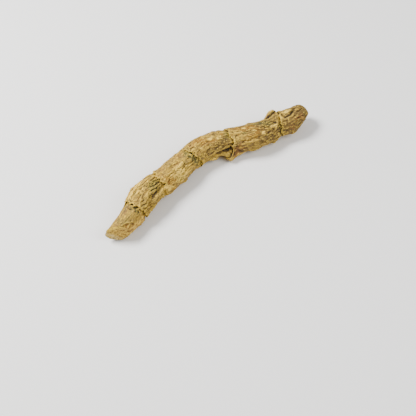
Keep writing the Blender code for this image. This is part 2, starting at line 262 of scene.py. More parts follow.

# Ways across the straightened root on the cut's face: to its upper rim, which gets a painted highlight, and
# away from the pale band at its lower rim. The band's fine lines have so many cells of noise in a
# millimetre, across and along.
CUT_HIGHLIGHT_WAY = (0.0, 0.93, -0.37)
CUT_BAND_WAY = (0.0, 0.85, 0.53)
CUT_LINES_ACROSS = (0.0, 2.1, 1.3)
CUT_LINES_ALONG = (0.0, 0.16, -0.25)

# Stains, where the bark's colour differs. Most "dark" spots are painted shade in pits, creases, the cap's
# fold and the gap before the last hem, and the "brown" spots at 84 and 93 on the near side are painted
# shade in a hollow.
STAINS = {
    "brown": spots(
        # The spots at 84 and 93 on the near side are painted shade in a hollow.
        (36, 62, 7, 4.5, 0.5), (66, 95, 7, 4, 0.4), (84, 62, 9, 4, 0.5), (93, 60, 6, 6, 0.7),
        (98, 120, 6, 5, 1.5), (104, 100, 7, 5, 0.5), (108, -26, 9, 5, 0.6), (118, -6, 6, 5, 0.5),
        (118, 70, 9, 6, 0.5), (90, -28, 8, 4, 0.5), (96, 112, 5, 3, 1.3), (128, -72, 3, 2.5, 0.6),
        (122, 10, 6, 6, 0.4), (124, 50, 6, 6, 0.6), (127, -52, 5, 4, 0.8), (130, -54, 3, 3, 0.5),
        (137, 40, 6, 9, 0.9), (143, 10, 6, 9, 0.8), (146, -30, 5, 7, 0.7), (140, 85, 8, 6, 0.8),
    ),
    "red": spots(
        (27.6, -28, 1.5, 1.2, 0.7), (50, 56, 3, 2.8, 0.9), (46, 75, 2, 2, 0.4), (56, 5, 4, 2, 0.4),
        (76, -14, 3, 2, 0.8), (82, 10, 3, 1.5, 0.8), (89, 16, 2.5, 1.5, 0.5), (101, 104, 4, 4, 0.8),
        (110.5, -11, 3.5, 1.3, 0.9), (106, 80, 4, 4, 0.5), (140, 32, 3, 2, 0.6), (143.6, 42, 2, 3, 0.8),
        (136, 66, 3, 3, 0.5), (127, -56, 3, 2, 0.5),
    ),
    "grey": spots(
        (22, 14, 1.8, 4.5, 0.9), (41, 14, 4.5, 4.5, 0.9), (38, 30, 4, 3, 0.5), (69.8, 4, 2, 4, 0.9),
        (71, 40, 1.8, 4, 0.8), (72, 75, 1.8, 4, 0.7), (97.5, 2, 2.2, 4, 0.9), (107.9, 12, 2, 1.3, 0.8),
        (118, -28, 5, 2.2, 0.7), (123, -8, 4, 2.5, 0.7), (129.5, 60, 1.3, 6, 0.8),
        (134, -50, 3.5, 2, 0.8), (140, -50, 4, 1.6, 0.7), (146.5, 38, 1.6, 2, 0.4),
    ),
    "gold": spots(
        (30, -58, 4, 2, 0.7), (39, -58, 5, 2, 0.7), (49.4, 39, 2.5, 2, 0.9), (50.4, 88, 2.5, 2.2, 0.9),
        (53.1, 56, 2, 1.6, 0.7), (47.6, 19, 1.5, 1.5, 0.6), (79.7, -20, 4, 2, 0.9),
        (82.5, 6, 4, 1.8, 0.9), (88.7, 20, 3, 1.4, 0.9), (94, -2, 4, 1.5, 0.5),
        (104.5, -15, 3.5, 1.6, 0.9), (111.9, -14, 5, 1.4, 0.9), (107.2, 2, 3, 1.2, 0.7),
        (116, 14, 4, 2, 0.6), (113, 36, 5, 2, 0.5), (144, -7, 3, 1.2, 0.6), (127, -60, 2, 1.5, 0.6),
    ),
    "pale": spots(
        (31.4, -23, 1.6, 0.8, 1), (29, -50, 3.5, 2.5, 0.7), (36, -45, 4, 2, 0.6),
        (23.2, 25, 0.7, 0.7, 1), (21.8, 13, 0.6, 0.6, 0.7), (45.8, 64, 1.8, 1.2, 0.9),
        (48.5, 80, 2.2, 1.2, 0.8), (47.5, 20, 1, 4, 0.45), (59.6, 24, 1.7, 1.1, 1.4),
        (63.4, 20, 1, 0.8, 0.9), (55, 55, 7, 5, 0.45), (66, 51, 1.6, 0.5, 0.7), (70.5, 14, 1, 1, 0.7),
        (86.5, 7, 2, 1, 1), (92.1, 14, 2, 1, 1), (98.7, 28, 0.9, 1, 0.9), (85.2, 34, 1, 0.7, 0.8),
        (79, 26, 2, 0.8, 0.6), (87, 122, 5, 1.4, 0.7), (108, -12, 1.8, 0.6, 1),
        (105.6, 5, 1.5, 0.8, 0.7), (60, 62, 6, 5, 0.35), (113.8, 10, 1.4, 0.7, 0.8),
        (117.8, 29, 1.4, 0.8, 1.2), (118.9, 44, 1.3, 0.6, 0.8), (124.4, 16, 1.8, 1.1, 0.8),
        (127, 22, 1.6, 1.6, 0.8), (101.5, 20, 0.7, 7, 0.45), (101.2, 62, 0.7, 5, 0.4),
        (137, -18, 2.6, 1.3, 0.9), (132.3, -9, 0.9, 2, 0.7), (129.6, -50, 1.2, 0.5, 0.8),
        (123.2, -54, 1.3, 0.8, 0.8),
    ),
    # Mostly painted shade in pits, creases, the cap's fold and the gap before the last hem.
    "dark": spots(
        (20.8, -7, 0.8, 0.8, 1.1), (22.5, 36, 0.9, 1, 1), (21.6, 16, 0.5, 0.6, 0.7),
        (41.2, 80, 0.8, 0.8, 1.1), (127.7, 0, 1, 1, 1.1), (127.2, -46, 1.1, 0.9, 1.1),
        (130, 22, 0.5, 5, 0.8), (129.4, 60, 0.5, 6, 0.8), (44.4, 26, 1, 1.6, 0.8),
        (42, -2, 1.6, 0.7, 0.8), (132, -50, 1, 1, 0.8), (129, 68, 0.9, 3, 0.8), (96, 86, 2.2, 0.8, 1),
        (134.2, 2, 1, 0.7, 1), (136.4, 4, 1.6, 0.6, 1.1), (138.8, 1, 1.4, 0.6, 1),
        (141, -10, 1.6, 0.6, 0.9), (125.4, -47, 1.2, 0.5, 0.9), (127.4, -43, 1.2, 0.6, 1),
        (129.4, -41, 1.2, 0.5, 1), (131.2, -44, 1.1, 0.5, 0.9), (136, -46, 2, 0.7, 1),
        (140.5, -47, 2, 0.6, 0.9), (96.8, 104, 2, 0.6, 0.9),
    ),
}

# Torn bark: slivers that hang from the hems over the rings, and splinters that lift off rough segments.
# Length, width, lift and tone are drawn from a range. Tone goes to the material as relief, so it paints a
# highlight on many strips. Drift is the most that a strip turns, in degrees.
Torn = namedtuple("Torn", "length width lift drift roots tone")
SLIVERS = Torn(length=(1.0, 2.6), width=(0.35, 0.95), lift=(-0.35, 0.25), drift=5.0, roots=0.05,
               tone=(-0.2, 0.7))
SLIVERS_PER_RING = 22
SLIVER_SEED = 11
SLIVER_STRAY = 0.4
SLIVER_START = 0.7
SPLINTERS = Torn(length=(2.0, 6.0), width=(0.35, 1.0), lift=(0.1, 0.55), drift=4.0, roots=0.2,
                 tone=(-0.1, 0.9))
SPLINTER_COUNT = 110
SPLINTER_SEED = 23
SPLINTER_ANGLES = (-130.0, 130.0)
SPLINTER_AFTER_HEM = 1.5
SPLINTER_BEFORE_HEM = 6.5
ROUGH_SEGMENTS = (1, 1, 1, 2, 3, 4, 4, 5)

# A strip's stations are shares of its length, its width and its lift. Past its hem it keeps clear of the
# bark below. None hangs where the bud stands higher than the margin.
STRIP_STATIONS = ((0.0, 0.7, 0.0), (0.3, 1.0, 0.12), (0.6, 0.8, 0.4), (0.85, 0.45, 0.8), (1.0, 0.1, 1.0))
STRIP_THICKNESS = 0.16
STRIP_CLEARANCE = 0.3
STRIP_PALENESS = -0.5
BUD_MARGIN = 0.03

# The photograph's camera, in the centre line's millimetres.
CAMERA_AIM = (58.0, -18.5, 7.0)
CAMERA_BACK = (-0.354, -0.452, 0.819)
CAMERA_LENS = 100.0
CAMERA_SENSOR = 36.0
VIEW_WIDTH = 233.0

# Half the floor's width, in metres.
FLOOR_HALF = 3.0


def curve_through(before, start, end, after, share):
    """A place between start and end on the smooth curve through four points."""
    return 0.5 * (
        2 * start
        + (end - before) * share
        + (2 * before - 5 * start + 4 * end - after) * share ** 2
        + (3 * start - before - 3 * end + after) * share ** 3
    )


def trace_centre_line():
    """Points along the centre line, each with its distance from the start as seen from above."""
    knots = [Vector(knot) for knot in CENTRE_LINE]
    knots = [2 * knots[0] - knots[1]] + knots + [2 * knots[-1] - knots[-2]]
    points = [
        curve_through(*knots[span:span + 4], step / STEPS_PER_SPAN)
        for span in range(len(knots) - 3)
        for step in range(STEPS_PER_SPAN)
    ] + [knots[-2]]
    distances = [0.0]
    for last, point in zip(points, points[1:]):
        distances.append(distances[-1] + (point - last).xy.length)
    return points, distances


LINE_POINTS, LINE_DISTANCES = trace_centre_line()


def centre(at):
    """The centre line's point at a distance along it."""
    low, high = 0, len(LINE_DISTANCES) - 1
    while high - low > 1:
        middle = (low + high) // 2
        low, high = (middle, high) if LINE_DISTANCES[middle] <= at else (low, middle)
    share = (at - LINE_DISTANCES[low]) / (LINE_DISTANCES[high] - LINE_DISTANCES[low])
    return LINE_POINTS[low].lerp(LINE_POINTS[high], share)


def directions(at):
    """The level directions along the root and out to its near side."""
    ahead = centre(at + 0.5) - centre(at - 0.5)
    ahead.z = 0.0
    ahead.normalize()
    return ahead, ahead.cross(Vector((0, 0, 1)))


def turn_between(angle, other):
    """The signed turn from one angle to another, both in degrees, in radians."""
    return radians((angle - other + 180.0) % 360.0 - 180.0)


def hem_noise(index, angle, count):
    """Smooth noise around a hem. A higher count gives more waves."""
    turn = radians(angle)
    circle = Vector((cos(turn), sin(turn), 0.0))
    return noise.noise(circle * count + Vector((0.0, 0.0, HEM_LAYER * index)))


@lru_cache(maxsize=None)
def hem(index, angle):
    """How far along the root a segment starts, at an angle around it."""
    if index == 0:
        return cut_edge(angle)
    if index > LAST:
        return TIP
    segment = SEGMENTS[index]
    turn = radians(angle)
    place = segment.start + segment.sway * sin(turn) + segment.nod * cos(turn)
    for count, share in HEM_TEARS:
        place += segment.jag * share * hem_noise(index, angle, count)
    for tongue in TONGUES:
        if tongue.hem == index:
            aside = turn_between(angle, tongue.angle) / radians(tongue.spread)
            place -= tongue.length * exp(-aside ** 2)
    return place


@lru_cache(maxsize=None)
def fine_tear(index, angle):
    """How far its small tears shift a hem along the root."""
    if not 0 < index <= LAST:
        return 0.0
    return sum(share * hem_noise(index, angle, count) for count, share in FINE_TEARS)


def cut_edge(angle):
    """Where the knife cut's plane meets the bark, found by closing in on it."""
    turn = radians(angle)
    slant = CUT_SIDE_SLANT * sin(turn) + CUT_TOP_SLANT * cos(turn)
    at = SEGMENTS[0].start
    for _ in range(CUT_EDGE_STEPS):
        at = SEGMENTS[0].start + slant * radius(0, at, angle)
    return at


def plain_girth(index, at):
    """The segment's radius without its relief, through its values at start, middle and end."""
    start = SEGMENTS[index].start
    end = SEGMENTS[index + 1].start if index < LAST else DOME_START
    share = (at - start) / (end - start)
    first, middle, last = SEGMENTS[index].girth
    return (
        first * (1 - share) * (1 - 2 * share)
        + 4 * middle * share * (1 - share)
        + last * share * (2 * share - 1)
    )


def grain_noise(grain, at, angle, girth, shift=0.0):
    """Smooth noise over the bark that meets itself after a full turn, between -1 and 1."""
    turn = radians(angle)
    across = girth * sin(turn) / grain.width
    up = girth * cos(turn) / grain.width
    return noise.noise(Vector((at / grain.length, across + grain.layer + shift, up)))


def furrows(at, angle, girth):
    """Lengthwise wrinkles: rounded ridges between narrow valleys, from -1 to about 1."""
    wander = FURROW_WANDER * grain_noise(WANDER, at, angle, girth)
    coarse = abs(grain_noise(COARSE_FURROWS, at, angle, girth, wander))
    fine = abs(grain_noise(FINE_FURROWS, at, angle, girth, wander))
    return COARSE_FURROW_SHARE * coarse + FINE_FURROW_SHARE * fine - 1.0


def bump_at(spot, at, angle, girth):
    """How much of a rounded spot's full height it has at a place, from 0 to 1."""
    along = (at - spot.at) / spot.along
    if abs(along) > SPOT_LIMIT:
        return 0.0
    across = girth * turn_between(angle, spot.angle) / spot.around
    return exp(-along ** 2 - across ** 2)


def distance_to_course(at, angle, girth, course):
    """The distance over the bark from a place to a crease, in millimetres."""
    nearest = inf
    for (at_a, angle_a), (at_b, angle_b) in zip(course, course[1:]):
        here = Vector((at - at_a, girth * turn_between(angle, angle_a)))
        run = Vector((at_b - at_a, girth * turn_between(angle_b, angle_a)))
        share = min(max(here.dot(run) / run.length_squared, 0.0), 1.0)
        nearest = min(nearest, (here - run * share).length)
    return nearest


def creases(at, angle, girth, listed=CREASES):
    """How deep the listed creases are at a place, as a height below 0."""
    total = 0.0
    for crease in listed:
        if crease.course[0][0] - CREASE_LIMIT < at < crease.course[-1][0] + CREASE_LIMIT:
            reach = distance_to_course(at, angle, girth, crease.course) / crease.width
            total -= crease.depth * exp(-reach ** 2)
    return total


def root_scars(at, angle, girth):
    """Raised round scars, each with a dimple, in a zigzag along the underside."""
    if not SCARS_FROM - SCAR_STEP < at < SCARS_TO:
        return 0.0
    total = 0.0
    nearest = round((at - SCARS_FROM) / SCAR_STEP)
    for number in (nearest - 1, nearest, nearest + 1):
        stray = SCAR_STRAY * noise.noise(Vector((number * SCAR_LAYER, 0.0, 0.0)))
        swing = (SCAR_SWING if number % 2 else -SCAR_SWING) + stray
        along = (at - SCARS_FROM - SCAR_STEP * number) / SCAR_REACH
        across = girth * turn_between(angle, 180.0 + swing) / SCAR_REACH
        spread = along ** 2 + across ** 2
        total += SCAR_HEIGHT * exp(-spread) - SCAR_DIMPLE * exp(-SCAR_DIMPLE_SHARPNESS * spread)
    return total


def far_end(at, angle, distance):
    """The skin near the tip: drawn in to a rounded end, and trimmed by the slanted cut."""
    if at > DOME_START:
        share = min((at - DOME_START) / (TIP - DOME_START), 1.0)
        distance *= (1.0 - share ** DOME_POWER) ** (1.0 / DOME_POWER)
    return trim(distance, angle, (FAR_CUT_AXIS_CROSSING - at) / FAR_CUT_SLANT, FAR_CUT_ANGLE)


def trim(distance, angle, reach, plane_angle):
    """The skin's distance where a plane trims it that faces plane_angle, at this reach from the centre."""
    facing = cos(turn_between(angle, plane_angle))
    if facing <= 0.0:
        return distance
    limit = reach / facing
    return (distance ** -TRIM_SHARPNESS + limit ** -TRIM_SHARPNESS) ** (-1.0 / TRIM_SHARPNESS)


def fading(distance, reach):
    """1 at a distance of 0 or less, and less the further off."""
    return exp(-max(distance, 0.0) / reach)


def radius(index, at, angle, detail=None):
    """The distance from the centre line out to a segment's bark. detail(...) adds fine relief to it."""
    segment = SEGMENTS[index]
    girth = plain_girth(index, at)
    facing_down = max(-cos(radians(angle)), 0.0)
    distance = girth + LUMP_HEIGHT * grain_noise(LUMPS, at, angle, girth)
    distance += segment.furrow * furrows(at, angle, girth)
    distance += sum(mound.height * bump_at(mound, at, angle, girth) for mound in MOUNDS)
    distance += creases(at, angle, girth) + root_scars(at, angle, girth)
    distance -= UNDERSIDE_FLATTENING * facing_down ** 2
    if detail:
        distance += detail(index, at, angle, girth)
    if index == 0:
        distance = trim(distance, angle, PARED_REACH + PARED_RISE * (at - segment.start), PARED_ANGLE)
    else:
        worn = 1.0 - (1.0 - UNDERSIDE_LIP) * facing_down
        distance += segment.lip * worn * fading(at - hem(index, angle), LIP_FADE)
    if index < LAST:
        distance -= SEGMENTS[index + 1].groove * fading(hem(index + 1, angle) - at, GROOVE_FADE)
    return far_end(at, angle, distance)


def smooth_step(low, high, value):
    """0 below low, 1 above high, and a smooth rise between."""
    share = min(max((value - low) / (high - low), 0.0), 1.0)
    return share * share * (3.0 - 2.0 * share)


def inside_pared_edge(at, angle):
    """How far a place of the first segment lies within the strip that the knife pared, in millimetres."""
    turned = (angle + 90.0) % 360.0 - 90.0
    angles, places = zip(*PARED_EDGE)
    edge, beside = np.interp((turned, turned + 1.0), angles, places)
    slope = (beside - edge) / radians(PARED_GIRTH)
    wobble = PARED_WOBBLE * grain_noise(FINE_FURROWS, at, angle, PARED_GIRTH)
    return (edge - at) / hypot(1.0, slope) + wobble


def pared(at, angle):
    """1 where the knife has pared the bark off near the cut, 0 where the bark still is."""
    return smooth_step(-PARED_BLEND, PARED_BLEND, inside_pared_edge(at, angle))


def torn_edge(at, angle):
    """The relief at the pared strip's edge: the bark curls up there, and the strip lies below it."""
    inside = inside_pared_edge(at, angle)
    curl = CURL_HEIGHT * exp(-(inside / CURL_REACH) ** 2) if inside < 0 else 0.0
    return curl - PARED_DEPTH * pared(at, angle)


def peeled(grain, at, angle, girth):
    """1 on the strips of bark that still lie on top, 0 where they have peeled off, with a crisp edge."""
    wander = FURROW_WANDER * grain_noise(WANDER, at, angle, girth)
    return smooth_step(-STRIP_EDGE, STRIP_EDGE, grain_noise(grain, at, angle, girth, wander))


def cracks(at, angle, girth):
    """Narrow splits along the root, in patches: 1 in a split, 0 beside it."""
    wander = FURROW_WANDER * grain_noise(WANDER, at, angle, girth)
    split = exp(-(grain_noise(CRACKS, at, angle, girth, wander) / CRACK_WIDTH) ** 2)
    return split * smooth_step(*CRACK_PATCH_EDGE, grain_noise(CRACK_PATCHES, at, angle, girth))


def beads(at, angle, girth):
    """Small round bumps packed side by side: 1 on a bump, 0 in the gaps between them."""
    turn = radians(angle)
    place = Vector((at, girth * sin(turn), girth * cos(turn))) / BEAD_SIZE
    distances = noise.voronoi(place)[0]
    return min((distances[1] - distances[0]) / BEAD_GAP, 1.0)


def before_hem(index, at, angle, girth):
    """The relief of the bark that lies just before the next segment's hem."""
    to_hem = max(hem(index + 1, angle) + fine_tear(index + 1, angle) - at, 0.0)
    if to_hem > BEAD_LIMIT * BEAD_REACH:
        return 0.0
    share = BEADING[index] * exp(-(to_hem / BEAD_REACH) ** 2)
    share *= smooth_step(*BEAD_PATCH_EDGE, grain_noise(BEAD_PATCHES, at, angle, girth))
    undercut = UNDERCUT * fading(to_hem, UNDERCUT_REACH)
    return share * BEAD_HEIGHT * (beads(at, angle, girth) - BEAD_SINK) - undercut


def bark_detail(index, at, angle, girth):
    """The bark's fine relief over its furrows."""
    height = STRIP_HEIGHT * (peeled(STRIPS, at, angle, girth) - 0.5)
    height += SHRED_HEIGHT * (peeled(SHREDS, at, angle, girth) - 0.5)
    height += FIBRE_HEIGHT * grain_noise(FIBRES, at, angle, girth) - CRACK_DEPTH * cracks(at, angle, girth)
    height = height * ROUGHNESS[index] + GRIT_HEIGHT * grain_noise(GRIT, at, angle, girth)
    height += creases(at, angle, girth, FINE_CREASES)
    if index < LAST:
        height += before_hem(index, at, angle, girth)
    if index == 0:
        height *= 1.0 - PARED_SMOOTHING * pared(at, angle)
    return height


def place_in_space(at, angle, distance):
    """Where a point of the skin lies, in millimetres. Nothing lies lower than the ground."""
    side = directions(at)[1]
    turn = radians(angle)
    point = centre(at) + side * distance * sin(turn)
    point.z = max(point.z + distance * cos(turn), 0.0)
    return point


def fine_place(index, share, angle):
    """The place of a skin row. The rows near a hem follow its small tears."""
    start = hem(index, angle)
    end = hem(index + 1, angle)
    at = start + share * (end - start)
    if index > 0:
        at += (fine_tear(index, angle) - OVERHANG) * exp(-(at - start) / TEAR_FADE)
    if index < LAST:
        at += (fine_tear(index + 1, angle) + TUCK) * exp(-(end - at) / TEAR_FADE)
    return at


def placed(name, data):
    """A new object in the scene with this mesh, light or camera."""
    made = bpy.data.objects.new(name, data)
    bpy.context.scene.collection.objects.link(made)
    return made


class Skin:
    """A skin's vertices and faces, and the values that its material reads at each vertex."""

    def __init__(self):
        self.points = []
        self.faces = []
        self.values = defaultdict(list)

    def add(self, at, angle, distance, point=None, **values):
        """Adds a vertex and returns its number. The point is where its other values put it, or as given."""
        turn = radians(angle)
        self.points.append(place_in_space(at, angle, distance) if point is None else point)
        self.values["straight"].append((at, distance * cos(turn), distance * sin(turn)))
        for name, plain in PLAIN_VALUES.items():
            self.values[name].append(values.get(name, plain))
        self.values["peel"].append(peeled(STRIPS, at, angle, MEAN_GIRTH))
        for colour, stains in STAINS.items():
            total = sum(stain.height * bump_at(stain, at, angle, MEAN_GIRTH) for stain in stains)
            self.values[colour].append(min(total, 1.0))
        return len(self.points) - 1

    def bridge(self, row, after):
        """Joins two closed rows of as many vertices with faces."""
        for column, here in enumerate(row):
            following = (column + 1) % len(row)
            self.faces.append((here, row[following], after[following], after[column]))

    def finish(self, name, material):
        """The piece made of the vertices and faces, with its values as attributes."""
        mesh = bpy.data.meshes.new(name)
        places = [(Vector(point) - Vector(ORIGIN)) * MM for point in self.points]
        mesh.from_pydata(places, [], self.faces)
        for key, column in self.values.items():
            kind, field = ("FLOAT_VECTOR", "vector") if key == "straight" else ("FLOAT", "value")
            attribute = mesh.attributes.new(key, kind, "POINT")
            attribute.data.foreach_set(field, np.array(column, np.float32).ravel())
        mesh.shade_smooth()
        mesh.materials.append(material)
        piece = placed(name, mesh)
        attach(piece, BODY)
        return piece


def blurred(grid, reach):
    """The grid averaged over `reach` cells each way, around the root and along it."""
    around = sum(np.roll(grid, shift, axis=1) for shift in range(-reach, reach + 1)) / (2 * reach + 1)
    padded = np.pad(around, ((reach, reach), (0, 0)), mode="edge")
    return sum(padded[shift:shift + len(grid)] for shift in range(2 * reach + 1)) / (2 * reach + 1)


def relief_of(distances):
    """How far each place stands out of the bark nearby, from -1 in a deep valley to 1 on a ridge."""
    wide, narrow = (distances - blurred(distances, reach) for reach in RELIEF_REACHES)
    return np.clip((wide + narrow) / RELIEF_SCALE, -1.0, 1.0)


def column_angle(column):
    """The angle around the root of a column of the skin."""
    return 360.0 * column / FINE_COLUMNS


def segment_rows(index):
    """A segment's rows, as grids of places along and distances out. They lie closer towards the tip."""
    count = FINE_ROWS[index]
    places, distances = np.zeros((count, FINE_COLUMNS)), np.zeros((count, FINE_COLUMNS))
    for row in range(count):
        share = row / (count - 1)
        if index == LAST:
            share = sin(0.5 * pi * row / count)
        for column in range(FINE_COLUMNS):
            angle = column_angle(column)
            at = fine_place(index, share, angle)
            places[row, column] = at
            distances[row, column] = radius(index, at, angle, bark_detail)
            if index == 0:
                distances[row, column] += torn_edge(at, angle)
    return places, distances


def lip_height(index, angle):
    """How much of its thickness a hem has at an angle: it is thin in places."""
    turn = radians(angle)
    place = Vector((LIP_WAVES * cos(turn), LIP_WAVES * sin(turn), LIP_LAYER * index))
    return 1.0 + LIP_RAGGEDNESS * noise.noise(place)


def shadow_and_rim(index, at, angle):
    """1 for painted shade in the gap before the next hem, and down to -1 on the pale rim of the segment's
    own hem.

    The bark that the knife cut through is dark at its edge too.
    """
    value = 0.0
    if index < LAST:
        value += fading(hem(index + 1, angle) + fine_tear(index + 1, angle) - at, HEM_SHADOW_REACH)
    if index > 0:
        value -= fading(at - hem(index, angle) - fine_tear(index, angle), HEM_RIM_REACH)
    else:
        value += CUT_EDGE_SHADE * fading(at - hem(index, angle), CUT_EDGE_REACH) * (1.0 - pared(at, angle))
    return value


def add_rows(skin, index, places, distances):
    """Adds the vertices of a segment's rows, and returns their numbers row by row."""
    relief = relief_of(distances)
    rows = []
    for row in range(len(places)):
        made = []
        for column in range(FINE_COLUMNS):
            angle = column_angle(column)
            at, distance = places[row, column], distances[row, column]
            made.append(skin.add(
                at, angle, distance, relief=relief[row, column], rough=ROUGHNESS[index],
                hem=shadow_and_rim(index, at, angle), cut=pared(at, angle) if index == 0 else 0.0,
            ))
        rows.append(made)
    return rows


def add_lip_edge(skin, index, places, distances):
    """Adds the vertices under a hem's lip, just behind the first row, and returns their numbers. They carry
    painted shade.
    """
    edge = []
    for column in range(FINE_COLUMNS):
        angle = column_angle(column)
        distance = distances[column] - LIP_THICKNESS * lip_height(index, angle)
        edge.append(skin.add(places[column] + LIP_EDGE_STEP, angle, distance, **LIP_EDGE_SHADE_VALUES))
    return edge


def build_skin(material):
    """The bark from the cut to the tip, segment by segment, with the cut's face."""
    skin = Skin()
    for index in range(len(SEGMENTS)):
        places, distances = segment_rows(index)
        rows = add_rows(skin, index, places, distances)
        if index == 0:
            rim = rows[0]
        else:
            edge = add_lip_edge(skin, index, places[0], distances[0])
            skin.bridge(last_row, edge)
            skin.bridge(edge, rows[0])
        for row, after in zip(rows, rows[1:]):
            skin.bridge(row, after)
        last_row = rows[-1]
    close_tip(skin, last_row)
    add_cut_face(skin, rim)
    piece = skin.finish("bark_skin", material)
    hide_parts(NODE)
    return piece


def close_tip(skin, row):
    """Closes the skin's last row with one vertex at the tip."""
    hub = skin.add(TIP, 0.0, 0.0)
    for column, here in enumerate(row):
        skin.faces.append((hub, here, row[(column + 1) % len(row)]))


def add_cut_face(skin, rim):
    """Adds the knife cut's face: it sinks towards the middle and is a little rough."""
    ahead, side = directions(SEGMENTS[0].start)
    inward = (ahead - CUT_SIDE_SLANT * side - CUT_TOP_SLANT * Vector((0, 0, 1))).normalized()
    middle = sum((skin.points[vertex] for vertex in rim), Vector()) / len(rim)
    straight = skin.values["straight"]
    outer = rim
    for share in CUT_RINGS + (0.0,):
        ring = []
        for vertex in rim if share else rim[:1]:
            flat = middle.lerp(skin.points[vertex], share)
            rough = sum(height * noise.noise(flat / size) for size, height in CUT_PATCHES)
            sink = CUT_SINK * (1.0 - share ** CUT_SINK_POWER)
            point = flat + inward * (sink - rough * (1.0 - share ** CUT_PATCH_POWER))
            point.z = max(point.z, 0.0)
            along = straight[vertex][0] * share + SEGMENTS[0].start * (1.0 - share)
            turn = degrees(atan2(straight[vertex][2], straight[vertex][1]))
            reach = hypot(*straight[vertex][1:]) * share
            relief = CUT_RELIEF_SCALE * rough
            ring.append(skin.add(along, turn, reach, point=point, relief=relief, cut=1.0, face=1.0))
        if share:
            skin.bridge(ring, outer)
            outer = ring
    for column, here in enumerate(outer):
        skin.faces.append((ring[0], outer[(column + 1) % len(outer)], here))


def segment_at(at, angle):
    """The segment whose bark is on the outside at a place."""
    return max(index for index in range(len(SEGMENTS)) if index == 0 or hem(index, angle) - OVERHANG <= at)


def ground_under(index, at, angle, along):
    """The bark under a strip that starts on a segment. Past the hem it goes down to the segment before."""
    edge = hem(index, angle)
    ground = radius(index, max(at, edge), angle, bark_detail)
    if at < edge:
        below = radius(index - 1, at, angle, bark_detail) + STRIP_CLEARANCE
        ground += (min(below, ground) - ground) * along
    return ground


def add_strip(skin, at, angle, length, width, lift, drift, roots, tone):
    """A tapered strip of torn bark. It runs along the root by length, back if negative, and lifts off."""
    index = segment_at(at, angle)
    rows = []
    for along, broad, up in STRIP_STATIONS:
        here = at + along * length
        ground = ground_under(index, here, angle, along)
        half_turn = degrees(0.5 * width * broad / ground)
        middle = angle + drift * along
        height = ground + lift * up - roots * (1.0 - along)
        thickness = min(STRIP_THICKNESS, 0.5 * width) * (0.5 + 0.5 * broad)
        corners = ((-half_turn, 0.0), (0.0, thickness), (half_turn, 0.0), (0.0, -0.5 * thickness))
        # The strip's tone goes in as relief, which paints a highlight on it.
        rows.append([
            skin.add(here, middle + turned, height + raised, relief=tone, hem=STRIP_PALENESS)
            for turned, raised in corners
        ])
    if length < 0:
        rows = [row[::-1] for row in rows]
    for row, after in zip(rows, rows[1:]):
        skin.bridge(row, after)
    skin.faces.append(tuple(rows[0][::-1]))
    skin.faces.append(tuple(rows[-1]))


def drawn(draw, torn):
    """One strip's values, drawn at random within the limits for its kind."""
    return {
        "width": draw.uniform(*torn.width),
        "lift": draw.uniform(*torn.lift),
        "drift": draw.uniform(-torn.drift, torn.drift),
        "roots": torn.roots,
        "tone": draw.uniform(*torn.tone),
    }


def build_fringe(material):
    """Torn slivers of bark that hang from the hems over the rings."""
    skin = Skin()
    draw = random.Random(SLIVER_SEED)
    for index in range(1, len(SEGMENTS)):
        for number in range(SLIVERS_PER_RING):
            angle = 360.0 * (number + draw.uniform(-SLIVER_STRAY, SLIVER_STRAY)) / SLIVERS_PER_RING
            at = hem(index, angle) + fine_tear(index, angle) - OVERHANG + SLIVER_START
            if any(bump_at(mound, at, angle, MEAN_GIRTH) > BUD_MARGIN for mound in BUD):
                continue
            length = -draw.uniform(*SLIVERS.length)
            add_strip(skin, at, angle, length, **drawn(draw, SLIVERS))
    return skin.finish("ring_fringe", material)


def build_splinters(material):
    """Thin strips of bark that have lifted at one end, mostly on the rough segments."""
    skin = Skin()
    draw = random.Random(SPLINTER_SEED)
    for _ in range(SPLINTER_COUNT):
        index = draw.choice(ROUGH_SEGMENTS)
        angle = draw.uniform(*SPLINTER_ANGLES)
        start = hem(index, angle) + SPLINTER_AFTER_HEM
        end = hem(index + 1, angle) - SPLINTER_BEFORE_HEM
        length = draw.uniform(*SPLINTERS.length) * draw.choice((-1, 1))
        at = draw.uniform(start, end) + max(-length, 0.0)
        add_strip(skin, at, angle, length, **drawn(draw, SPLINTERS))
    return skin.finish("bark_splinters", material)


def rgb(red, green, blue):
    """A colour as it looks on a screen, from 0 to 255, as the shader's linear values."""
    return tuple(((value / 255 + 0.055) / 1.055) ** 2.4 for value in (red, green, blue)) + (1.0,)


# The colours of bark and cut tissue, and of each kind of stain, with the most that it covers. The dark
# crease colour serves both dark dashes and painted shade. The ridge tip colour serves both pale fibres and
# flecks and a painted highlight. The cut's bright colour serves both bright specks and a painted highlight.
# The "dark" stain colour is mostly painted shade.
DARK_DASH_AND_SHADE = rgb(50, 37, 20)
BROWN_BARK = rgb(119, 95, 52)
OLIVE_BARK = rgb(122, 110, 50)
RUSTY_BARK = rgb(154, 106, 42)
TAN_BARK = rgb(161, 130, 49)
LIGHT_BARK = rgb(200, 160, 46)
PALE_TIPS_AND_HIGHLIGHT = rgb(238, 196, 72)
CUT_TISSUE = rgb(212, 172, 72)
CUT_SHADE = rgb(134, 95, 36)
CUT_BRIGHT = rgb(255, 214, 72)
CUT_RIM = rgb(214, 190, 124)
CUT_PORES = rgb(104, 74, 32)
STAIN_SHADES = {
    "brown": (rgb(100, 78, 40), 0.85),
    "red": (rgb(142, 92, 42), 0.55),
    "grey": (rgb(82, 80, 40), 0.85),
    "gold": (rgb(148, 104, 28), 0.8),
    "pale": (rgb(248, 208, 88), 0.9),
    "dark": (rgb(34, 26, 16), 0.9),
}


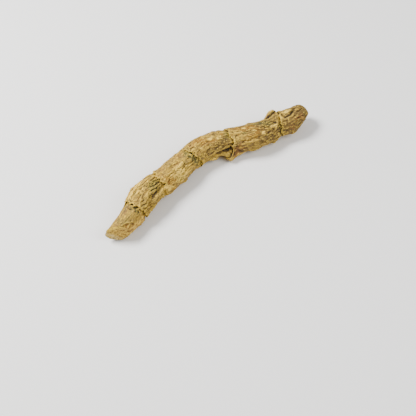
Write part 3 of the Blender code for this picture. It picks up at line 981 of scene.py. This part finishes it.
class Shading:
    """Short ways to add nodes to a material."""

    def __init__(self, name):
        self.material = bpy.data.materials.new(name)
        self.material.use_nodes = True
        self.tree = self.material.node_tree
        self.shader = self.tree.nodes["Principled BSDF"]

    def put(self, socket, value):
        """Links another node's output to a socket, or sets the socket to a constant."""
        if isinstance(value, bpy.types.NodeSocket):
            self.tree.links.new(value, socket)
        else:
            socket.default_value = value

    def add(self, kind, inputs, output, **settings):
        """One output of a new node with these settings and inputs."""
        node = self.tree.nodes.new("ShaderNode" + kind)
        for name, setting in settings.items():
            setattr(node, name, setting)
        for socket, value in inputs.items():
            self.put(node.inputs[socket], value)
        return node.outputs[output]

    def value_of(self, attribute):
        """A value that the skin's vertices carry."""
        return self.add("Attribute", {}, "Fac", attribute_name=attribute)

    def straightened(self):
        """The place on the root as if it were straight, in millimetres."""
        return self.add("Attribute", {}, "Vector", attribute_name="straight")

    def grain(self, length, width, layer=0.0):
        """Coordinates that follow the root, stretched so that one cell has this length and width."""
        scale = (1 / length, 1 / width, 1 / width)
        inputs = {0: self.straightened(), 1: scale, 2: (layer, layer, layer)}
        return self.add("VectorMath", inputs, "Vector", operation="MULTIPLY_ADD")

    def measured_along(self, direction):
        """How far a place of the straightened root lies in a direction, in millimetres."""
        inputs = {0: self.straightened(), 1: direction}
        return self.add("VectorMath", inputs, "Value", operation="DOT_PRODUCT")

    def joined(self, first, second):
        """A place made of two values."""
        return self.add("CombineXYZ", {0: first, 1: second}, 0)

    def noise(self, place, detail=3.0, roughness=0.55, distortion=0.0):
        """Noise that varies around 0.5."""
        shape = {"Scale": 1.0, "Detail": detail, "Roughness": roughness, "Distortion": distortion}
        return self.add("TexNoise", {"Vector": place, **shape}, "Fac")

    def dots(self, place):
        """The distance to the nearest of scattered points."""
        return self.add("TexVoronoi", {"Vector": place, "Scale": 1.0}, "Distance")

    def ramp(self, value, low, high, start=0.0, end=1.0):
        """The value spread from low..high to start..end, held at the ends."""
        inputs = {0: value, 1: low, 2: high, 3: start, 4: end}
        return self.add("MapRange", inputs, "Result", interpolation_type="SMOOTHSTEP")

    def calculate(self, operation, first, second):
        """Two values added, subtracted or multiplied. Sums and products are held from 0 to 1."""
        held = operation in ("MULTIPLY", "ADD")
        return self.add("Math", {0: first, 1: second}, "Value", operation=operation, use_clamp=held)

    def mix(self, share, first, second):
        """The first colour, with a share of the second."""
        return self.add("Mix", {0: share, 6: first, 7: second}, 2, data_type="RGBA")

    def tinted(self, colour, *tints):
        """The colour with tints: each a shade, the value it follows, its limits, and how strong it gets."""
        for shade, value, low, high, most in tints:
            colour = self.mix(self.ramp(value, low, high, end=most), colour, shade)
        return colour

    def bump(self, height, distance, strength, under=None):
        """A normal that follows a height, over another normal if one is given."""
        inputs = {"Height": height, "Distance": distance, "Strength": strength}
        if under:
            inputs["Normal"] = under
        return self.add("Bump", inputs, "Normal")


def bark_colour(look):
    """The bark's colour: patches, peeled strips, stains, fibres, flecks, painted highlight on ridges,
    painted shade in valleys.
    """
    patches = look.noise(look.grain(9.0, 3.5), detail=4.0, distortion=0.6)
    tints = look.noise(look.grain(5.0, 2.5, layer=51.0), detail=2.0)
    blotches = look.noise(look.grain(1.8, 1.0, layer=13.0))
    fibres = look.noise(look.grain(4.5, 0.55, layer=5.0), roughness=0.6)
    colour = look.tinted(
        BROWN_BARK,
        (TAN_BARK, patches, 0.36, 0.64, 1.0),
        (OLIVE_BARK, tints, 0.52, 0.66, 0.65),
        (RUSTY_BARK, tints, 0.46, 0.33, 0.6),
    )
    colour = look.mix(look.calculate("MULTIPLY", look.value_of("peel"), 0.35), colour, LIGHT_BARK)
    colour = look.tinted(
        colour,
        (LIGHT_BARK, blotches, 0.52, 0.64, 0.6),
        (BROWN_BARK, blotches, 0.46, 0.34, 0.75),
        (PALE_TIPS_AND_HIGHLIGHT, fibres, 0.55, 0.68, 0.45),
        (BROWN_BARK, fibres, 0.45, 0.34, 0.75),
    )
    colour = stained(look, colour)
    rough = look.value_of("rough")
    dashes = look.noise(look.grain(1.7, 0.5, layer=9.0), detail=1.0)
    dashes = look.calculate("SUBTRACT", dashes, look.calculate("MULTIPLY", rough, 0.03))
    flecks = look.noise(look.grain(1.4, 0.7, layer=27.0), detail=1.0)
    flecks = look.calculate("ADD", flecks, look.calculate("MULTIPLY", rough, 0.06))
    relief = look.value_of("relief")
    # Dark dashes and pale flecks are the bark's own colour. The relief paints a highlight on ridges, and
    # below, painted shade in valleys, broken into patches.
    colour = look.tinted(
        colour,
        (DARK_DASH_AND_SHADE, dashes, 0.38, 0.32, 0.75),
        (PALE_TIPS_AND_HIGHLIGHT, flecks, 0.67, 0.73, 0.8),
        (PALE_TIPS_AND_HIGHLIGHT, relief, 0.3, 1.0, 0.4),
    )
    broken = look.ramp(look.noise(look.grain(2.6, 1.6, layer=57.0)), 0.4, 0.58, 0.2, 0.9)
    valley_shade = look.calculate("MULTIPLY", look.ramp(relief, -0.2, -0.9), broken)
    return look.mix(valley_shade, colour, DARK_DASH_AND_SHADE)


def stained(look, colour):
    """The colour with the stains over it, each with a ragged edge. Some stains are painted shade."""
    for number, (name, (shade, most)) in enumerate(STAIN_SHADES.items()):
        ragged = look.noise(look.grain(2.0, 0.9, layer=17.0 + number))
        share = look.calculate("ADD", look.value_of(name), look.ramp(ragged, 0.3, 0.7, -0.3, 0.3))
        colour = look.tinted(colour, (shade, share, 0.3, 0.75, most))
    return colour


def cut_colour(look):
    """The cut tissue's colour: mottled tan with pores, a painted highlight by the upper rim, a pale band
    below, and painted highlight and shade from its relief.
    """
    face = look.value_of("face")
    cloudy = look.noise(look.grain(2.5, 1.4, layer=21.0), detail=4.0, roughness=0.7)
    specks = look.noise(look.grain(1.2, 0.6, layer=71.0), detail=2.0)
    colour = look.tinted(
        CUT_SHADE,
        (CUT_TISSUE, cloudy, 0.41, 0.54, 1.0),
        (PALE_TIPS_AND_HIGHLIGHT, cloudy, 0.54, 0.64, 0.8),
    )
    # A painted highlight along the cut's upper rim, in patches.
    rim_highlight = look.calculate("MULTIPLY", look.ramp(look.measured_along(CUT_HIGHLIGHT_WAY), 2.6, 4.6), face)
    colour = look.mix(look.calculate("MULTIPLY", rim_highlight, look.ramp(cloudy, 0.3, 0.5)), colour, CUT_BRIGHT)
    band = look.calculate("MULTIPLY", look.ramp(look.measured_along(CUT_BAND_WAY), -1.6, -3.2), face)
    across, along = look.measured_along(CUT_LINES_ACROSS), look.measured_along(CUT_LINES_ALONG)
    lines = look.noise(look.joined(across, along))
    colour = look.mix(look.calculate("MULTIPLY", band, look.ramp(lines, 0.42, 0.54)), colour, CUT_RIM)
    pores = look.dots(look.grain(3.0, 0.8, layer=25.0))
    relief = look.value_of("relief")
    streaks = look.noise(look.grain(7.0, 0.8, layer=75.0), roughness=0.6, distortion=0.4)
    # Specks, pores and streaks are the tissue's own colour; its relief paints a highlight on ridges and
    # shade in hollows.
    colour = look.tinted(
        colour,
        (CUT_PORES, specks, 0.42, 0.32, 0.75),
        (CUT_BRIGHT, specks, 0.6, 0.7, 0.75),
        (CUT_PORES, pores, 0.26, 0.12, 0.6),
        (PALE_TIPS_AND_HIGHLIGHT, relief, 0.2, 0.9, 0.5),
        (BROWN_BARK, relief, -0.2, -1.0, 0.8),
        (BROWN_BARK, streaks, 0.46, 0.36, 0.75),
    )
    rim = look.ramp(look.measured_along(CUT_BAND_WAY), -4.6, -5.6, end=0.7)
    return look.mix(look.calculate("MULTIPLY", rim, face), colour, BROWN_BARK)


def bark_material():
    look = Shading("dried_bark_look")
    hem_shadow_and_rim = look.value_of("hem")
    colour = look.mix(look.value_of("cut"), bark_colour(look), cut_colour(look))
    # Painted shade in the gap before each hem, and dark at the cut's edge, broken into patches; then the
    # pale rim of each hem.
    gaps = look.ramp(look.noise(look.grain(2.4, 2.0, layer=63.0)), 0.42, 0.58, 0.25, 1.0)
    shadow = look.calculate("MULTIPLY", look.ramp(hem_shadow_and_rim, 0.15, 0.8, end=0.9), gaps)
    colour = look.mix(shadow, colour, DARK_DASH_AND_SHADE)
    colour = look.tinted(colour, (PALE_TIPS_AND_HIGHLIGHT, hem_shadow_and_rim, -0.3, -0.9, 0.4))
    look.put(look.shader.inputs["Base Color"], colour)
    worn = look.noise(look.grain(3.0, 1.0, layer=35.0))
    look.put(look.shader.inputs["Roughness"], look.ramp(worn, 0.3, 0.7, 0.72, 0.95))
    look.put(look.shader.inputs["Specular IOR Level"], 0.3)
    fibre_height = look.noise(look.grain(5.0, 0.32, layer=39.0), detail=4.0, roughness=0.65)
    grit_height = look.noise(look.grain(0.5, 0.4, layer=43.0))
    normal = look.bump(fibre_height, distance=0.0005, strength=0.85)
    normal = look.bump(grit_height, distance=0.00015, strength=0.5, under=normal)
    look.put(look.shader.inputs["Normal"], normal)
    return look.material


def floor_material():
    look = Shading("pale_floor")
    place = look.tree.nodes.new("ShaderNodeTexCoord").outputs["Object"]
    cloud = look.noise(place)
    look.put(look.shader.inputs["Base Color"], look.mix(cloud, rgb(243, 242, 240), rgb(248, 247, 245)))
    look.put(look.shader.inputs["Roughness"], 0.9)
    return look.material


def build_floor(material):
    mesh = bpy.data.meshes.new("floor")
    corners = [(FLOOR_HALF * x, FLOOR_HALF * y, 0) for x, y in ((-1, -1), (1, -1), (1, 1), (-1, 1))]
    mesh.from_pydata(corners, [], [(0, 1, 2, 3)])
    mesh.materials.append(material)
    placed("floor", mesh)


def area_light(name, direction, distance, size, power):
    lamp = bpy.data.lights.new(name, "AREA")
    lamp.shape = "DISK"
    lamp.size = size
    lamp.energy = power
    light = placed(name, lamp)
    towards = Vector(direction).normalized()
    light.location = towards * distance
    light.rotation_euler = towards.to_track_quat("Z", "Y").to_euler()


def add_lights():
    """Soft light: a broad key from the far left, a weaker fill from the near right, and a pale surround."""
    area_light("key", direction=(-0.45, 0.6, 1.0), distance=0.7, size=0.28, power=10.0)
    area_light("fill", direction=(0.5, -0.7, 0.9), distance=0.9, size=0.6, power=4.5)
    world = bpy.data.worlds.new("studio")
    world.use_nodes = True
    background = world.node_tree.nodes["Background"]
    background.inputs["Color"].default_value = (1.0, 1.0, 1.0, 1.0)
    background.inputs["Strength"].default_value = 0.52
    bpy.context.scene.world = world


def add_camera():
    camera = bpy.data.cameras.new("camera")
    camera.lens = CAMERA_LENS
    camera.sensor_width = CAMERA_SENSOR
    back = Vector(CAMERA_BACK).normalized()
    viewer = placed("camera", camera)
    distance = VIEW_WIDTH * CAMERA_LENS / CAMERA_SENSOR
    viewer.location = (Vector(CAMERA_AIM) - Vector(ORIGIN) + back * distance) * MM
    viewer.rotation_euler = back.to_track_quat("Z", "Y").to_euler()
    bpy.context.scene.camera = viewer


def main():
    bark = bark_material()
    build_skin(bark)
    build_fringe(bark)
    build_splinters(bark)
    build_floor(floor_material())
    add_lights()
    add_camera()


main()
bpy.context.view_layer.update()
